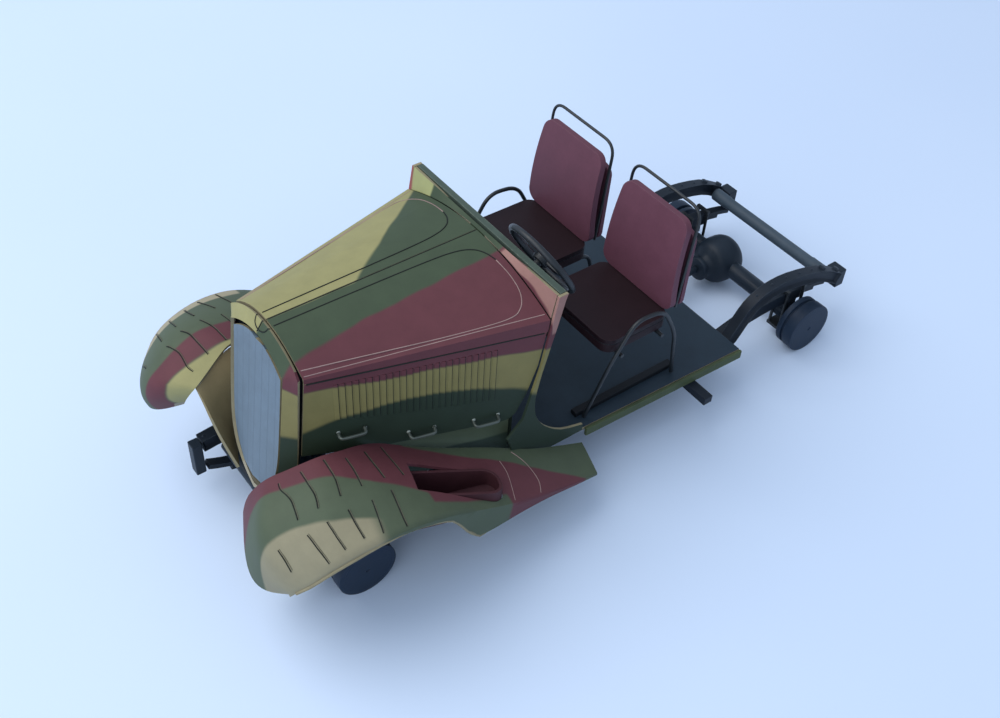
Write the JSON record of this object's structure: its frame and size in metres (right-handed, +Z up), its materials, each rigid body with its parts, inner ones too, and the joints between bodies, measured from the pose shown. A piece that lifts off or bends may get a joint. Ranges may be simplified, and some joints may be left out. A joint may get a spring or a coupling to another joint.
{
  "type": "card model of a light army car",
  "caption": "Unfinished card and wire model of a light 4x4 army car: camouflaged hood, fenders and cowl, two bare seats, open chassis, turning hub drums.",
  "frame": {"origin": "middle of the bounding box in plan, at floor level under the hub drums", "axes": "+Z up, nose towards -Y, the car's left side towards +X"},
  "size_m": [0.068, 0.147, 0.0559],
  "materials": {
    "card_chassis": "matte",
    "drum_card": "matte",
    "wire_black": "satin",
    "wire_pale": "satin",
    "card_blue": "matte",
    "card_camouflage": "matte",
    "card_floor": "matte",
    "card_maroon": "matte"
  },
  "bodies": {
    "car": {"frame_rail_left": "card_chassis", "frame_rail_right": "card_chassis", "front_crossmember": "card_chassis", "frame_crossbars": "card_chassis", "rear_cross_tube": "card_chassis", "outrigger_bars": "card_chassis", "front_spring_left": "card_chassis", "front_spring_right": "card_chassis", "rear_spring_left": "card_chassis", "rear_spring_right": "card_chassis", "spring_shackles": "card_chassis", "spring_bolts": "wire_black", "front_axle": "card_chassis", "rear_axle": "card_chassis", "transfer_case": "card_chassis", "front_propeller_shaft": "card_chassis", "rear_propeller_shaft": "card_chassis", "radiator_face": "card_blue", "radiator_shell": "card_camouflage", "radiator_core": "card_chassis", "hood_top_left": "card_camouflage", "hood_top_right": "card_camouflage", "hood_side_left": "card_camouflage", "hood_side_right": "card_camouflage", "hood_handles": "wire_pale", "cowl_top": "card_camouflage", "cowl_side_left": "card_camouflage", "cowl_side_right": "card_camouflage", "cowl_frame": "card_camouflage", "bulkhead": "card_chassis", "front_fender_left": "card_camouflage", "front_fender_right": "card_camouflage", "fender_apron_left": "card_camouflage", "fender_apron_right": "card_camouflage", "spare_wheel_well_left": "card_camouflage", "spare_wheel_well_right": "card_camouflage", "floor_panel": "card_floor", "floor_edges": "card_camouflage", "floor_runners": "card_chassis", "seat_cushion_left": "card_maroon", "seat_cushion_right": "card_maroon", "seat_back_left": "card_maroon", "seat_back_right": "card_maroon", "seat_frame_left": "wire_black", "seat_frame_right": "wire_black", "steering_column": "wire_black"},
    "left_front_knuckle": {"front_knuckle_left": "card_chassis"},
    "right_front_knuckle": {"front_knuckle_right": "card_chassis"},
    "left_front_drum": {"hub_drum_front_left": "drum_card"},
    "right_front_drum": {"hub_drum_front_right": "drum_card"},
    "left_rear_drum": {"hub_drum_rear_left": "drum_card"},
    "right_rear_drum": {"hub_drum_rear_right": "drum_card"},
    "hand_wheel": {"steering_wheel": "wire_black"}
  },
  "joints": [
    {"name": "steer_left", "type": "hinge", "parent": "car", "child": "left_front_knuckle", "pos_m": [0.0175, -0.0541, 0.0059], "axis": [0, 0, 1], "range_deg": [-20, 20]},
    {"name": "steer_right", "type": "hinge", "parent": "car", "child": "right_front_knuckle", "pos_m": [-0.0175, -0.0541, 0.0059], "axis": [0, 0, 1], "range_deg": [-20, 20]},
    {"name": "spin_front_left", "type": "hinge", "parent": "left_front_knuckle", "child": "left_front_drum", "pos_m": [0.0206, -0.0541, 0.0059], "axis": [1, 0, 0], "continuous": true},
    {"name": "spin_front_right", "type": "hinge", "parent": "right_front_knuckle", "child": "right_front_drum", "pos_m": [-0.0206, -0.0541, 0.0059], "axis": [1, 0, 0], "continuous": true},
    {"name": "spin_rear_left", "type": "hinge", "parent": "car", "child": "left_rear_drum", "pos_m": [0.0206, 0.0599, 0.0059], "axis": [1, 0, 0], "continuous": true},
    {"name": "spin_rear_right", "type": "hinge", "parent": "car", "child": "right_rear_drum", "pos_m": [-0.0206, 0.0599, 0.0059], "axis": [1, 0, 0], "continuous": true},
    {"name": "turn_hand_wheel", "type": "hinge", "parent": "car", "child": "hand_wheel", "pos_m": [0.0105, -0.0092, 0.0487], "axis": [0, 0.866, 0.5], "range_deg": [-360, 360]}
  ]
}
